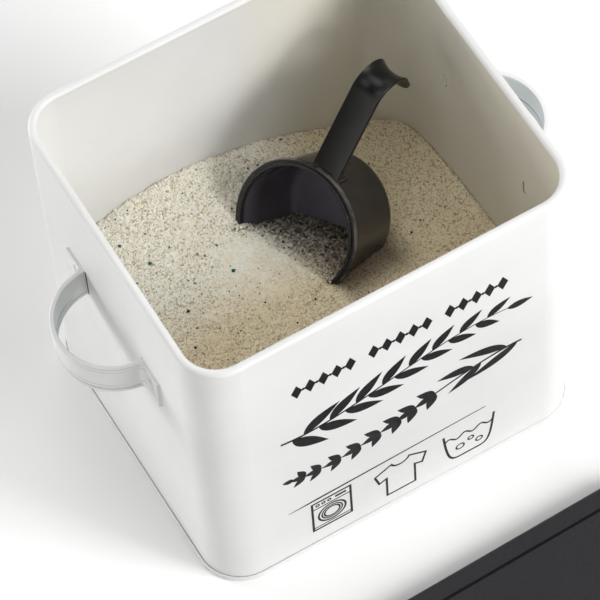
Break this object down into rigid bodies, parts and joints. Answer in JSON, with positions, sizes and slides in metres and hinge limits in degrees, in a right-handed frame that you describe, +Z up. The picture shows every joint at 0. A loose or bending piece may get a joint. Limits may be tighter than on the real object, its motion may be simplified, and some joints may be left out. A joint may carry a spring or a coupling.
{
  "type": "detergent storage box",
  "caption": "Open rounded rectangular sheet-steel storage box with a rolled rim and strap side handles, holding washing powder and a round scoop, its lid laid on the floor in front.",
  "frame": {"origin": "middle of the box's base, on the surface that it stands on", "axes": "+Z up, -Y towards the front (the face with the print), +X towards the right-hand handle"},
  "size_m": [0.259, 0.4056, 0.196],
  "materials": {
    "white_enamel": "smooth satin powder coat",
    "scoop_plastic": "moulded, satin gloss",
    "powder": "matt granules",
    "lid_enamel": "dark grey satin powder coat"
  },
  "bodies": {
    "root": {"body_shell": "white_enamel", "base_pan": "white_enamel", "left_handle": "white_enamel", "right_handle": "white_enamel", "scoop": "scoop_plastic", "detergent_powder": "powder", "lid": "lid_enamel"}
  },
  "joints": []
}
